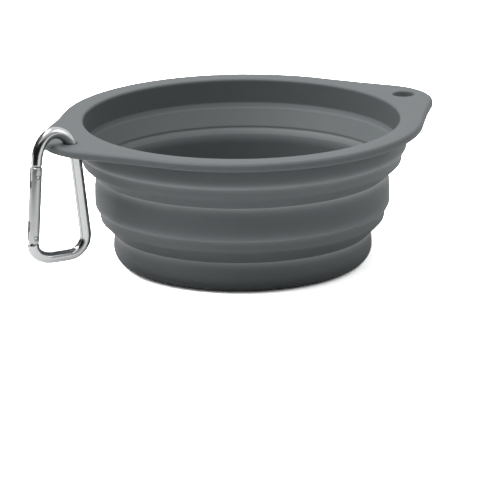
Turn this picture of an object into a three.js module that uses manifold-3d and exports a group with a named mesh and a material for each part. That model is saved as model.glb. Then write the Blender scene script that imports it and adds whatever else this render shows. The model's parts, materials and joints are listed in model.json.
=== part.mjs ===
// Collapsible silicone travel bowl with a snap clip on one of its two lugs.
// Millimetres, +Z up. The origin is the middle of the bowl's flat underside, and the lugs lie along X.
// The bowl is one moulding in five zones: three stiff rings and the two webs that fold between them.

import * as THREE from 'three';
import { mergeVertices } from 'three/addons/utils/BufferGeometryUtils.js';
import Module from 'manifold-3d';

const wasm = await Module();
wasm.setup();

// Heights of the five zones, from the underside up
const BASE_HEIGHT = 11.3;
const LOWER_WEB_HEIGHT = 8.7;
const MIDDLE_HEIGHT = 13;
const UPPER_WEB_HEIGHT = 8;
const RIM_HEIGHT = 12;

// Base radius, and the steps out from it to the two rings above, the edge of the rim and the tips of its lugs
const BASE_RADIUS = 46.7;
const LOWER_STEP = 6.5;
const UPPER_STEP = 6.3;
const FLANGE_WIDTH = 6.1;
const LUG_OVERHANG = 10.7;

// Walls and the floor
const WALL = 2.5;
const FLOOR = 2.6;
const BASE_FOOT_ROUND = 3.6;
const FLOOR_ROUND = 2.5;

// Foot of a ring: outside, a round edge above a notch; inside, a sloped ledge in to the web
const FOOT_STEP = 1.4;
const FOOT_NECK = 0.4;
const FOOT_RISE = 1.2;
const FOOT_ROUND = 3;
const NOTCH_ROUND = 0.2;
const NECK_WALL = 2.2;
const LEDGE_FOOT = 1.3;
const LEDGE_RISE = 1.6;
const LEDGE_ROUND = 0.8;

// Head of a ring: a soft shoulder up to the crease where the web above ends
const SHOULDER_DROP = 1.85;
const SHOULDER_DEPTH = 0.8;
const SHOULDER_ROUND = 6;
const CREASE_DEPTH = 0.6;
const CREASE_ROUND = 0.2;
const SEAM_WALL = 1.8;
const SEAM_DROP = 1.3;
const SEAM_ROUND = 1;

// Web: a short steep band, then a thin slope in to the next ring
const BAND_HEIGHT = 3.2;
const BAND_TAPER = 0.6;
const INNER_BEND_DROP = 0.8;
const WEB_ROUND = 1.2;

// Rim plate and its two lugs
const RIM_THICKNESS = 3;
const RIM_EDGE = 0.5;
const RIM_UNDER_FILLET = 1.2;
const MOUTH_ROUND = 0.7;
const LUG_TIP_RADIUS = 22.5;
const LUG_FLANK_RADIUS = 400;
const LUG_HOLE_RADIUS = 4.2;
const LUG_WEB = 4.6;

// Snap clip: a bent rod with a gate on the side away from the bowl
const ROD_DIAMETER = 3.8;
const CLIP_HEIGHT = 50;
const CLIP_BEND_RADIUS = 6.65;
const CLIP_HANG_DROP = 2.2;
const CLIP_HANG_OUT = 1.6;
const NECK_LEAN = THREE.MathUtils.degToRad(25);
const NECK_LENGTH = 6.2;
const NECK_ROUND = 10;
const SPINE_LEAN = THREE.MathUtils.degToRad(6.65);
const SPINE_FOOT_ROUND = 6.7;
const GATE_FOOT_ROUND = 6.1;

// Gate: its pivot above the clip's foot, the nose above it, and sizes along it from the pivot
const GATE_LEAN = THREE.MathUtils.degToRad(3.74);
const GATE_PIVOT_RISE = 9.25;
const NOSE_LENGTH = 4.8;
const GATE_DIAMETER = 4.4;
const GATE_TOP_ROUND = 0.8;
const GATE_FOOT_FLAT = 0.1;
const GATE_END_GAP = 0.4;
const SLOT_WIDTH = 1.7;
const LOWER_SLOT_TOP = 5.9;
const UPPER_SLOT_DEPTH = 7.6;
const LATCH_SET_BACK = 3.4;
const PIN_DIAMETER = 1.3;
const PIN_LENGTH = 4.2;
const PIN_CLEARANCE = 0.15;

// Flat tongues of the rod that enter the gate's slots
const TONGUE_CLEARANCE = 0.2;
const TONGUE_WIDTH = 3.6;
const TONGUE_ROUND = 0.3;
const TONGUE_ROOT = 1;
const TANG_TOP = 2.4;
const HOOK_CLEARANCE = 0.25;
const HOOK_FOOT = 1;
const HOOK_LIP = 0.5;

// Plunger and coil spring in the bore of the gate
const BORE_DIAMETER = 2.5;
const BORE_DEPTH = 9.6;
const BORE_CLEARANCE = 0.25;
const PLUNGER_TIP_DIAMETER = 1.3;
const PLUNGER_SEAT_GAP = 0.2;
const PLUNGER_BODY = 2.8;
const PLUNGER_TIP_ROUND = 0.2;
const SPRING_WIRE = 0.3;
const SPRING_TURNS = 5.5;

// Facets
const RING_FACETS = 64;
const ARC_SAG = 0.06;
const MERGE_DISTANCE = 1e-4;
const SPRING_STEPS_A_TURN = 8;
const SPRING_SIDES = 5;
const ROD_STEPS = 50;
const ROD_SIDES = 12;
const PIN_FACETS = 16;
const CUT_MARGIN = 1;

// Levels and radii that follow from the sizes above
const lowerWebFoot = BASE_HEIGHT;
const middleFoot = lowerWebFoot + LOWER_WEB_HEIGHT;
const upperWebFoot = middleFoot + MIDDLE_HEIGHT;
const rimFoot = upperWebFoot + UPPER_WEB_HEIGHT;
const rimTop = rimFoot + RIM_HEIGHT;
const plateFoot = rimTop - RIM_THICKNESS;
const middleRadius = BASE_RADIUS + LOWER_STEP;
const rimWallRadius = middleRadius + UPPER_STEP;
const rimRadius = rimWallRadius + FLANGE_WIDTH;
const lugReach = rimRadius + LUG_OVERHANG;
const openingRadius = rimWallRadius - WALL;
const lugHoleDistance = lugReach - LUG_WEB - LUG_HOLE_RADIUS;
const rodRadius = ROD_DIAMETER / 2;
const gateRadius = GATE_DIAMETER / 2;
const pinRadius = PIN_DIAMETER / 2;
const pinHoleRadius = pinRadius + PIN_CLEARANCE;
const clipFoot = CLIP_BEND_RADIUS + ROD_DIAMETER - CLIP_HEIGHT;
const gateTop = CLIP_BEND_RADIUS * Math.sin(GATE_LEAN);
const gatePivotDrop = (gateTop - clipFoot - GATE_PIVOT_RISE) / Math.cos(GATE_LEAN);
const gateLength = gatePivotDrop - NOSE_LENGTH - GATE_END_GAP;
const latchHeight = gateLength - LATCH_SET_BACK;
const tongueThickness = SLOT_WIDTH - 2 * TONGUE_CLEARANCE;
const boreTop = LOWER_SLOT_TOP + BORE_DEPTH;
const plungerFoot = TANG_TOP + PLUNGER_SEAT_GAP;
const plungerShoulder = LOWER_SLOT_TOP + BORE_CLEARANCE;
const plungerTop = plungerShoulder + PLUNGER_BODY;
const plungerRadius = BORE_DIAMETER / 2 - BORE_CLEARANCE;

// Closed solid for joining and cutting, with shared corners merged and empty triangles dropped
function toSolid(geometry) {
  const bare = geometry.clone();
  bare.deleteAttribute('normal');
  bare.deleteAttribute('uv');
  const merged = mergeVertices(bare, MERGE_DISTANCE);
  const triangles = [];
  for (let first = 0; first < merged.index.count; first += 3) {
    const corners = [0, 1, 2].map((offset) => merged.index.getX(first + offset));
    if (new Set(corners).size === 3) {
      triangles.push(...corners);
    }
  }
  const mesh = new wasm.Mesh({
    numProp: 3,
    vertProperties: new Float32Array(merged.attributes.position.array),
    triVerts: new Uint32Array(triangles),
  });
  return new wasm.Manifold(mesh);
}

function toGeometry(solid) {
  const mesh = solid.getMesh();
  const geometry = new THREE.BufferGeometry();
  geometry.setAttribute('position', new THREE.BufferAttribute(new Float32Array(mesh.vertProperties), 3));
  geometry.setIndex(new THREE.BufferAttribute(new Uint32Array(mesh.triVerts), 1));
  geometry.computeVertexNormals();
  return geometry;
}

// Path through corners [x, y, radius], with an arc of that radius at each corner
function roundedPath(corners, closed) {
  const path = new THREE.Path();
  const count = corners.length;
  const place = (index) => new THREE.Vector2(...corners[(index + count) % count].slice(0, 2));
  corners.forEach(([, , radius = 0], index) => {
    const corner = place(index);
    const back = place(index - 1).sub(corner).normalize();
    const ahead = place(index + 1).sub(corner).normalize();
    const halfAngle = back.angleTo(ahead) / 2;
    const setBack = radius / Math.tan(halfAngle);
    const start = corner.clone().addScaledVector(back, setBack);
    const end = corner.clone().addScaledVector(ahead, setBack);
    if (index === 0) {
      path.moveTo(start.x, start.y);
    } else {
      path.lineTo(start.x, start.y);
    }
    if (radius > 0) {
      const bisector = back.clone().add(ahead).normalize();
      const centre = corner.clone().addScaledVector(bisector, radius / Math.sin(halfAngle));
      const from = start.clone().sub(centre).angle();
      const to = end.clone().sub(centre).angle();
      const clockwise = back.cross(ahead) > 0;
      path.add(new THREE.EllipseCurve(centre.x, centre.y, radius, radius, from, to, clockwise));
      path.currentPoint.copy(end);
    }
  });
  if (closed) {
    path.closePath();
  }
  return path;
}

// Points of a closed path: its corners, and its arcs in steps that keep within the sag
function pathPoints(path) {
  const points = path.curves.flatMap((curve) => {
    if (!curve.isEllipseCurve) {
      return [curve.getPoint(0)];
    }
    const stepAngle = 2 * Math.acos(1 - ARC_SAG / Math.max(curve.xRadius, ARC_SAG));
    const steps = Math.ceil(curve.getLength() / curve.xRadius / stepAngle);
    return curve.getPoints(steps).slice(0, -1);
  });
  return points.filter((point, index) => point.distanceTo(points.at(index - 1)) > MERGE_DISTANCE);
}

// Body of revolution about Z from a closed outline of [radius, height, rounding], listed anticlockwise
function revolve(corners, facets = RING_FACETS) {
  const points = pathPoints(roundedPath(corners, true));
  return new THREE.LatheGeometry([...points, points[0]], facets).rotateX(Math.PI / 2);
}

// Plate of an outline drawn in X and Z, centred on the plane Y = 0
function plateXZ(corners, thickness) {
  const shape = new THREE.Shape(pathPoints(roundedPath(corners, true)));
  const geometry = new THREE.ExtrudeGeometry(shape, { depth: thickness, bevelEnabled: false });
  return geometry.rotateX(Math.PI / 2).translate(0, thickness / 2, 0);
}

function boxBetween(low, high) {
  const size = high.map((value, axis) => value - low[axis]);
  const middle = high.map((value, axis) => (value + low[axis]) / 2);
  return new THREE.BoxGeometry(...size).translate(...middle);
}

// Pin along Y through the point (x, z)
function crossPin(radius, length, x, z) {
  return new THREE.CylinderGeometry(radius, radius, length, PIN_FACETS).translate(x, 0, z);
}

// Foot of a ring on the outside, listed upwards: the neck over the web, the notch and the round edge
function ringFootOutside(wallRadius, foot) {
  const neckRadius = wallRadius - FOOT_STEP;
  const notchHeight = foot + FOOT_NECK;
  return [
    [neckRadius, foot],
    [neckRadius, notchHeight, NOTCH_ROUND],
    [wallRadius, notchHeight + FOOT_RISE, FOOT_ROUND],
  ];
}

// Foot of a ring on the inside, listed downwards: the sloped ledge where the wall steps in to the web
function ringFootInside(wallRadius, foot) {
  const ledgeRadius = wallRadius - FOOT_STEP - NECK_WALL;
  const ledgeHeight = foot + LEDGE_FOOT;
  return [
    [wallRadius - WALL, ledgeHeight + LEDGE_RISE, LEDGE_ROUND],
    [ledgeRadius, ledgeHeight, LEDGE_ROUND],
    [ledgeRadius, foot],
  ];
}

// Outer radius of the seam between the head of a ring and the web above it
function seamRadius(wallRadius) {
  return wallRadius - SHOULDER_DEPTH + CREASE_DEPTH;
}

// Head of a ring: shoulder, crease, seam and inner edge, listed upwards and then inwards
function ringHead(wallRadius, head) {
  const creaseHeight = head - CREASE_DEPTH;
  const seam = seamRadius(wallRadius);
  return [
    [wallRadius, creaseHeight - SHOULDER_DROP, SHOULDER_ROUND],
    [wallRadius - SHOULDER_DEPTH, creaseHeight, CREASE_ROUND],
    [seam, head],
    [seam - SEAM_WALL, head],
    [wallRadius - WALL, head - SEAM_DROP, SEAM_ROUND],
  ];
}

// Web between the foot of the ring above and the head of the ring below
function foldWeb(upperRadius, lowerRadius, foot, head) {
  const neckRadius = upperRadius - FOOT_STEP;
  const bendRadius = neckRadius - BAND_TAPER;
  const bendHeight = head - BAND_HEIGHT;
  const seam = seamRadius(lowerRadius);
  return revolve([
    [seam - SEAM_WALL, foot],
    [seam, foot],
    [bendRadius, bendHeight, WEB_ROUND],
    [neckRadius, head],
    [neckRadius - NECK_WALL, head],
    [bendRadius - NECK_WALL, bendHeight - INNER_BEND_DROP, WEB_ROUND],
  ]);
}

function baseCup() {
  return revolve([
    [0, 0],
    [BASE_RADIUS, 0, BASE_FOOT_ROUND],
    ...ringHead(BASE_RADIUS, BASE_HEIGHT),
    [BASE_RADIUS - WALL, FLOOR, FLOOR_ROUND],
    [0, FLOOR],
  ]);
}

function middleRing() {
  return revolve([
    ...ringFootOutside(middleRadius, middleFoot),
    ...ringHead(middleRadius, upperWebFoot),
    ...ringFootInside(middleRadius, middleFoot),
  ]);
}

// Outline of the rim plate: the rim circle, and at each lug a round tip joined to it by two hollow flanks
function rimOutline() {
  const tipCentre = lugReach - LUG_TIP_RADIUS;
  const rimToFlank = rimRadius + LUG_FLANK_RADIUS;
  const tipToFlank = LUG_TIP_RADIUS + LUG_FLANK_RADIUS;
  const cosine = (rimToFlank ** 2 + tipCentre ** 2 - tipToFlank ** 2) / (2 * rimToFlank * tipCentre);
  const rimAngle = Math.acos(cosine);
  const flankX = rimToFlank * Math.cos(rimAngle);
  const flankY = rimToFlank * Math.sin(rimAngle);
  const tipAngle = Math.atan2(flankY, flankX - tipCentre);
  const path = new THREE.Path();
  for (const [side, turn] of [[1, 0], [-1, Math.PI]]) {
    const arc = (x, y, radius, from, to, clockwise) => path.absarc(
      side * x, side * y, radius, from + turn, to + turn, clockwise,
    );
    arc(flankX, -flankY, LUG_FLANK_RADIUS, Math.PI - rimAngle, Math.PI - tipAngle, true);
    arc(tipCentre, 0, LUG_TIP_RADIUS, -tipAngle, tipAngle, false);
    arc(flankX, flankY, LUG_FLANK_RADIUS, Math.PI + tipAngle, Math.PI + rimAngle, true);
    arc(0, 0, rimRadius, rimAngle, Math.PI - rimAngle, false);
  }
  return pathPoints(path);
}

function rimRing() {
  const shape = new THREE.Shape(rimOutline());
  for (const side of [1, -1]) {
    const hole = new THREE.Path().absarc(side * lugHoleDistance, 0, LUG_HOLE_RADIUS, 0, 2 * Math.PI);
    shape.holes.push(new THREE.Path(pathPoints(hole)));
  }
  const plate = new THREE.ExtrudeGeometry(shape, {
    depth: RIM_THICKNESS - 2 * RIM_EDGE,
    bevelThickness: RIM_EDGE,
    bevelSize: RIM_EDGE,
    bevelOffset: -RIM_EDGE,
    bevelSegments: 1,
  }).translate(0, 0, plateFoot + RIM_EDGE);
  const midPlate = plateFoot + RIM_THICKNESS / 2;
  const outside = revolve([
    [0, rimFoot],
    ...ringFootOutside(rimWallRadius, rimFoot),
    [rimWallRadius, plateFoot, RIM_UNDER_FILLET],
    [rimWallRadius + 2 * RIM_UNDER_FILLET, plateFoot + RIM_EDGE / 2],
    [rimWallRadius, midPlate],
    [0, midPlate],
  ]);
  const cutFoot = rimFoot - CUT_MARGIN;
  const cutTop = rimTop + CUT_MARGIN;
  const [wallEdge, ledgeEdge, neckEdge] = ringFootInside(rimWallRadius, rimFoot);
  const inside = revolve([
    [0, cutFoot],
    [neckEdge[0], cutFoot],
    ledgeEdge,
    wallEdge,
    [openingRadius, rimTop - MOUTH_ROUND],
    [openingRadius + MOUTH_ROUND, rimTop],
    [openingRadius + MOUTH_ROUND, cutTop],
    [0, cutTop],
  ]);
  return toGeometry(toSolid(plate).add(toSolid(outside)).subtract(toSolid(inside)));
}

// Curve in the plane Y = 0 that follows a path drawn in X and Z
class PlaneCurve extends THREE.Curve {
  constructor(path) {
    super();
    this.path = path;
  }

  getPoint(t, target = new THREE.Vector3()) {
    const point = this.path.getPoint(t);
    return target.set(point.x, 0, point.y);
  }
}

// The clip's frame of reference has its origin at the centre of the top bend
const gateDown = new THREE.Vector2(-Math.sin(GATE_LEAN), -Math.cos(GATE_LEAN));
const gateTangent = new THREE.Vector2(-Math.cos(GATE_LEAN), Math.sin(GATE_LEAN))
  .multiplyScalar(CLIP_BEND_RADIUS);
const gatePivot = gateTangent.clone().addScaledVector(gateDown, gatePivotDrop);

// Turns a shape drawn in the gate's own upright frame into the clip's frame
function inGateFrame(geometry) {
  return geometry.rotateY(GATE_LEAN).translate(gatePivot.x, 0, gatePivot.y);
}

// Centre line of the rod, from under the gate's pivot round the foot, spine and top bend to the nose
function rodPath() {
  const spineDown = new THREE.Vector2(Math.sin(SPINE_LEAN), -Math.cos(SPINE_LEAN));
  const neckDown = new THREE.Vector2(Math.sin(NECK_LEAN), -Math.cos(NECK_LEAN));
  const neckTangent = new THREE.Vector2(Math.cos(NECK_LEAN), Math.sin(NECK_LEAN))
    .multiplyScalar(CLIP_BEND_RADIUS);
  const shoulder = neckTangent.clone().addScaledVector(neckDown, NECK_LENGTH);
  const meetFoot = (point, direction) => point.clone()
    .addScaledVector(direction, (clipFoot - point.y) / direction.y);
  const start = gatePivot.clone().addScaledVector(gateDown, gateRadius + GATE_END_GAP);
  const path = roundedPath([
    [start.x, start.y],
    [...meetFoot(gateTangent, gateDown), GATE_FOOT_ROUND],
    [...meetFoot(shoulder, spineDown), SPINE_FOOT_ROUND],
    [...shoulder, NECK_ROUND],
    [neckTangent.x, neckTangent.y],
  ], false);
  path.absarc(0, 0, CLIP_BEND_RADIUS, NECK_LEAN, Math.PI - GATE_LEAN, false);
  const nose = gateTangent.clone().addScaledVector(gateDown, NOSE_LENGTH);
  path.lineTo(nose.x, nose.y);
  return path;
}

// Tang that fills the gate's lower slot and turns on the pivot pin
function pivotTang() {
  const halfWidth = TONGUE_WIDTH / 2;
  const foot = -gateRadius - GATE_END_GAP - TONGUE_ROOT;
  const tang = plateXZ([
    [-halfWidth, foot],
    [halfWidth, foot],
    [halfWidth, TANG_TOP, TONGUE_ROUND],
    [-halfWidth, TANG_TOP, TONGUE_ROUND],
  ], tongueThickness);
  return toSolid(tang).subtract(toSolid(crossPin(pinHoleRadius, PIN_LENGTH, 0, 0)));
}

// Hook of the nose: it reaches past the latch pin on the outside and turns in under it
function noseHook() {
  const halfWidth = TONGUE_WIDTH / 2;
  const reach = pinRadius + HOOK_CLEARANCE;
  const root = gateLength + GATE_END_GAP + TONGUE_ROOT;
  const hook = plateXZ([
    [-halfWidth, root],
    [-halfWidth, latchHeight - reach - HOOK_FOOT, TONGUE_ROUND],
    [HOOK_LIP, latchHeight - reach - HOOK_FOOT, TONGUE_ROUND],
    [HOOK_LIP, latchHeight - reach, TONGUE_ROUND],
    [-reach, latchHeight - reach, TONGUE_ROUND],
    [-reach, latchHeight + reach, TONGUE_ROUND],
    [halfWidth, latchHeight + reach, TONGUE_ROUND],
    [halfWidth, root],
  ], tongueThickness);
  return toSolid(hook);
}

function carabinerFrame() {
  const section = new THREE.Shape().absarc(0, 0, rodRadius, 0, 2 * Math.PI);
  const rod = new THREE.ExtrudeGeometry(section, {
    steps: ROD_STEPS,
    curveSegments: ROD_SIDES / 2,
    extrudePath: new PlaneCurve(rodPath()),
  });
  const tongues = pivotTang().add(noseHook());
  return toGeometry(toSolid(rod).add(toSolid(inGateFrame(toGeometry(tongues)))));
}

function carabinerGate() {
  const barLength = gateLength + gateRadius;
  const footRound = gateRadius - GATE_FOOT_FLAT / 2;
  const bar = new THREE.CylinderGeometry(gateRadius, gateRadius, barLength, PIN_FACETS)
    .rotateX(Math.PI / 2)
    .rotateZ(Math.PI / PIN_FACETS)
    .translate(0, 0, barLength / 2 - gateRadius);
  const profile = plateXZ([
    [-gateRadius, gateLength, GATE_TOP_ROUND],
    [-gateRadius, -gateRadius, footRound],
    [gateRadius, -gateRadius, footRound],
    [gateRadius, gateLength, GATE_TOP_ROUND],
  ], GATE_DIAMETER + CUT_MARGIN);
  const slotBox = (low, high) => boxBetween(
    [-GATE_DIAMETER, -SLOT_WIDTH / 2, low],
    [GATE_DIAMETER, SLOT_WIDTH / 2, high],
  );
  const boreLength = BORE_DEPTH + CUT_MARGIN;
  const bore = new THREE.CylinderGeometry(BORE_DIAMETER / 2, BORE_DIAMETER / 2, boreLength, PIN_FACETS)
    .rotateX(Math.PI / 2)
    .translate(0, 0, boreTop - boreLength / 2);
  const cuts = [
    slotBox(-gateRadius - CUT_MARGIN, LOWER_SLOT_TOP),
    slotBox(gateLength - UPPER_SLOT_DEPTH, gateLength + CUT_MARGIN),
    crossPin(pinHoleRadius, GATE_DIAMETER + CUT_MARGIN, 0, 0),
    crossPin(pinHoleRadius, GATE_DIAMETER + CUT_MARGIN, 0, latchHeight),
    bore,
  ];
  const blank = toSolid(bar).intersect(toSolid(profile));
  return toGeometry(cuts.reduce((gate, cut) => gate.subtract(toSolid(cut)), blank));
}

function springPlunger() {
  const tipRadius = PLUNGER_TIP_DIAMETER / 2;
  return revolve([
    [0, plungerFoot],
    [tipRadius, plungerFoot, PLUNGER_TIP_ROUND],
    [tipRadius, plungerShoulder],
    [plungerRadius, plungerShoulder],
    [plungerRadius, plungerTop],
    [0, plungerTop],
  ], PIN_FACETS);
}

// Helix about Z between two heights
class HelixCurve extends THREE.Curve {
  constructor(radius, foot, top, turns) {
    super();
    Object.assign(this, { radius, foot, top, turns });
  }

  getPoint(t, target = new THREE.Vector3()) {
    const angle = 2 * Math.PI * this.turns * t;
    const height = this.foot + (this.top - this.foot) * t;
    return target.set(this.radius * Math.cos(angle), this.radius * Math.sin(angle), height);
  }
}

// Least clear gap of a coil to itself, between points at least half a turn apart
function leastCoilGap(curve, steps, wire) {
  const points = curve.getSpacedPoints(steps);
  const halfTurn = Math.round(steps / curve.turns / 2);
  let least = Infinity;
  points.forEach((point, index) => {
    for (const other of points.slice(index + halfTurn)) {
      least = Math.min(least, point.distanceTo(other) - wire);
    }
  });
  return least;
}

function gateSpring() {
  const endGap = SPRING_WIRE / 2 + BORE_CLEARANCE;
  const coilRadius = BORE_DIAMETER / 2 - BORE_CLEARANCE - SPRING_WIRE / 2;
  const coil = new HelixCurve(coilRadius, plungerTop + endGap, boreTop - endGap, SPRING_TURNS);
  const steps = SPRING_TURNS * SPRING_STEPS_A_TURN;
  console.log(`gate_spring least gap to itself: ${leastCoilGap(coil, steps, SPRING_WIRE).toFixed(2)} mm`);
  const circle = new THREE.EllipseCurve(0, 0, SPRING_WIRE / 2, SPRING_WIRE / 2);
  const wire = new THREE.Shape(circle.getPoints(SPRING_SIDES).slice(1));
  return new THREE.ExtrudeGeometry(wire, { steps, extrudePath: coil });
}

// Finishes: matte grey silicone, polished aluminium and bright steel
const finish = (color, roughness, metalness) => new THREE.MeshStandardMaterial({
  color, roughness, metalness,
});
const silicone = () => finish(0x7b8082, 0.62, 0);
const aluminium = () => finish(0xd9dadb, 0.22, 1);
const steel = () => finish(0xb4b6b8, 0.3, 1);

function piece(name, geometry, material) {
  const mesh = new THREE.Mesh(geometry, material);
  mesh.name = name;
  return mesh;
}

const bowl = new THREE.Group();
bowl.add(
  piece('base_cup', baseCup(), silicone()),
  piece('lower_fold_web', foldWeb(middleRadius, BASE_RADIUS, lowerWebFoot, middleFoot), silicone()),
  piece('middle_ring', middleRing(), silicone()),
  piece('upper_fold_web', foldWeb(rimWallRadius, middleRadius, upperWebFoot, rimFoot), silicone()),
  piece('rim_ring', rimRing(), silicone()),
);

const gate = new THREE.Group();
gate.position.set(gatePivot.x, 0, gatePivot.y);
gate.rotation.y = GATE_LEAN;
gate.add(
  piece('carabiner_gate', carabinerGate(), aluminium()),
  piece('gate_pivot_pin', crossPin(pinRadius, PIN_LENGTH, 0, 0), steel()),
  piece('gate_latch_pin', crossPin(pinRadius, PIN_LENGTH, 0, latchHeight), steel()),
  piece('spring_plunger', springPlunger(), steel()),
  piece('gate_spring', gateSpring(), steel()),
);

// The clip hangs by its top bend on the bridge between the lug's hole and its tip
const clip = new THREE.Group();
clip.position.set(-(lugReach - LUG_WEB / 2 + CLIP_HANG_OUT), 0, rimTop - CLIP_HANG_DROP);
clip.add(piece('carabiner_frame', carabinerFrame(), aluminium()), gate);

const travelBowl = new THREE.Group();
travelBowl.add(bowl, clip);

export default travelBowl;
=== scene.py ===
# %% [markdown]
# # A folding travel bowl with a snap clip
# The real bowl is one soft grey silicone moulding: three stiff rings that stand on each other like the
# tubes of a telescope, joined by two thin webs that roll inside out when the bowl is pressed flat.
# A polished snap clip hangs from one of the two lugs of its rim.
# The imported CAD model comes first. It fixes the sizes and the joints, and each piece made below
# stands for one of its solids with a finer surface and a real finish.

# %% Load the frame
import json
import math

import bmesh
import bpy
import numpy as np
from mathutils import Matrix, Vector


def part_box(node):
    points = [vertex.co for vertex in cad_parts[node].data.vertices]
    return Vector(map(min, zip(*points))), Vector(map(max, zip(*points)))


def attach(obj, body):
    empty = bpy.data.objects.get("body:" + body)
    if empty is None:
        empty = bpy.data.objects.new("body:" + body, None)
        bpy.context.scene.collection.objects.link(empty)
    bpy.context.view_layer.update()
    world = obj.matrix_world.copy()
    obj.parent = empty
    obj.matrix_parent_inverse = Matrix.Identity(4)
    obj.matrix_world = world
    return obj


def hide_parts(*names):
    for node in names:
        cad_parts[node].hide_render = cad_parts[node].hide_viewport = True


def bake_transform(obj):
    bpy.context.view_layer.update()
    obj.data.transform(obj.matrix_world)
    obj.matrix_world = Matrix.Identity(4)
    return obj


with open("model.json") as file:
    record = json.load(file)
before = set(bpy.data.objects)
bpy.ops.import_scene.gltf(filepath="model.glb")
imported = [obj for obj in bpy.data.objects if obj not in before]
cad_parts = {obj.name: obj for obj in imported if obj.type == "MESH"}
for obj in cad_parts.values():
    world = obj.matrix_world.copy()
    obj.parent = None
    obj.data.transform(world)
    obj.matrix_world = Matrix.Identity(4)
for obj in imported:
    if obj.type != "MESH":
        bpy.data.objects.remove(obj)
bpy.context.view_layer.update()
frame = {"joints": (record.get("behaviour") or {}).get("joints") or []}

MM = 0.001
joints = {joint["name"]: joint for joint in frame["joints"]}

# %% [markdown]
# ## Camera
# The photograph was taken with a long lens from a little above the rim, turned so that the clip is on
# the left. A constraint could aim the camera, but matrices say the same in a few lines: a camera that
# looks straight at the bowl's axis is placed first, and small turns (pan, tilt and roll) then put the
# bowl where it is in the picture, so the lens needs no shift. The lens is given in millimetres.

# %% Camera
LENS = 389.7
AIM_HEIGHT = 29.8 * MM
CAMERA_DISTANCE = 1.8754
AZIMUTH = math.radians(-28.5)
ELEVATION = math.radians(15.19)
PAN = math.radians(0.0305)
TILT = math.radians(-0.6645)
ROLL = math.radians(-0.589)

orbit = Matrix.Rotation(AZIMUTH, 4, "Z") @ Matrix.Rotation(math.pi / 2 - ELEVATION, 4, "X")
turns = Matrix.Rotation(PAN, 4, "Y") @ Matrix.Rotation(TILT, 4, "X") @ Matrix.Rotation(ROLL, 4, "Z")
camera = bpy.data.objects.new("camera", bpy.data.cameras.new("camera"))
camera.data.lens = LENS
camera.matrix_world = (
    Matrix.Translation((0, 0, AIM_HEIGHT))
    @ orbit
    @ Matrix.Translation((0, 0, CAMERA_DISTANCE))
    @ turns
)
bpy.context.scene.collection.objects.link(camera)
bpy.context.scene.camera = camera
print("Camera at", np.round(camera.matrix_world.translation, 3))

# %% [markdown]
# ## Node helpers
# A finish is a graph of shader nodes, which is often drawn by hand in the shader editor. A script needs
# many lines for the same graph, so short helpers keep it readable. The first adds a node with its
# settings and inputs, where an input is a number or another node's output. The others mix two colours,
# compare two values, start a material, or open a node group: an effect with named sockets that is built
# once and used in several finishes.

# %% Node helpers
def add_node(tree, kind, inputs=None, **settings):
    """Adds a node of that kind. An input is linked where it is another node's socket, and set otherwise."""
    node = tree.nodes.new(kind)
    for name, value in settings.items():
        setattr(node, name, value)
    for name, value in (inputs or {}).items():
        if isinstance(value, bpy.types.NodeSocket):
            tree.links.new(value, node.inputs[name])
        else:
            node.inputs[name].default_value = value
    return node


def open_group(name, inputs, outputs):
    """New shader node group with these sockets, given as name and kind."""
    group = bpy.data.node_groups.new(name, "ShaderNodeTree")
    for socket, kind in inputs.items():
        group.interface.new_socket(socket, in_out="INPUT", socket_type=kind)
    for socket, kind in outputs.items():
        group.interface.new_socket(socket, in_out="OUTPUT", socket_type=kind)
    return group, group.nodes.new("NodeGroupInput").outputs, group.nodes.new("NodeGroupOutput").inputs


def open_material(name):
    """New material and its node tree, which starts with a Principled shader and an output."""
    material = bpy.data.materials.new(name)
    material.use_nodes = True
    return material, material.node_tree


def show(tree, shader):
    """Makes a shader's output the surface of its material."""
    tree.links.new(shader, tree.nodes["Material Output"].inputs["Surface"])


def mix_colors(tree, factor, one, two):
    """Colour (1 - factor) one + factor two."""
    mix = add_node(tree, "ShaderNodeMix", {"Factor": factor, "A": one, "B": two}, data_type="RGBA")
    return mix.outputs["Result"]


def larger(tree, one, two):
    """The larger of two values."""
    return add_node(tree, "ShaderNodeMath", {0: one, 1: two}, operation="MAXIMUM").outputs[0]


# %% [markdown]
# ## Floor
# The bowl stands on a white table. A table that is white for every ray would throw so much light back
# that the lower walls went pale, and a grey one would look grey. A Light Path node tells the rays apart:
# the camera sees a floor so bright that only the shadow is darker than white, mirror images see plain
# white, and the light that the floor throws on the bowl comes from a greyer one, darkest near the foot.
# Seen from below the table is clear, so the bowl shows from there too.

# %% Floor
FLOOR_SIZE = 12.0
TABLE_GAP = 0.05 * MM
FLOOR_SEEN = (4.2, 4.2, 4.2, 1)
FLOOR_MIRRORED = (1.0, 1.0, 1.0, 1)
FLOOR_BOUNCE = (0.66, 0.66, 0.67, 1)
FLOOR_SHADED = (0.2, 0.2, 0.21, 1)
SHADE_START = 45 * MM
SHADE_END = 100 * MM


def stage_sheet(name, wide, tall, height, material):
    """Rectangle that faces up, centred on the Z axis at a height. It is stage, not part of the bowl."""
    corners = [(x * wide / 2, y * tall / 2, height) for x, y in [(-1, -1), (1, -1), (1, 1), (-1, 1)]]
    mesh = bpy.data.meshes.new(name)
    mesh.from_pydata(corners, [], [(0, 1, 2, 3)])
    mesh.materials.append(material)
    sheet = bpy.data.objects.new(name, mesh)
    bpy.context.scene.collection.objects.link(sheet)
    return sheet


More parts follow.
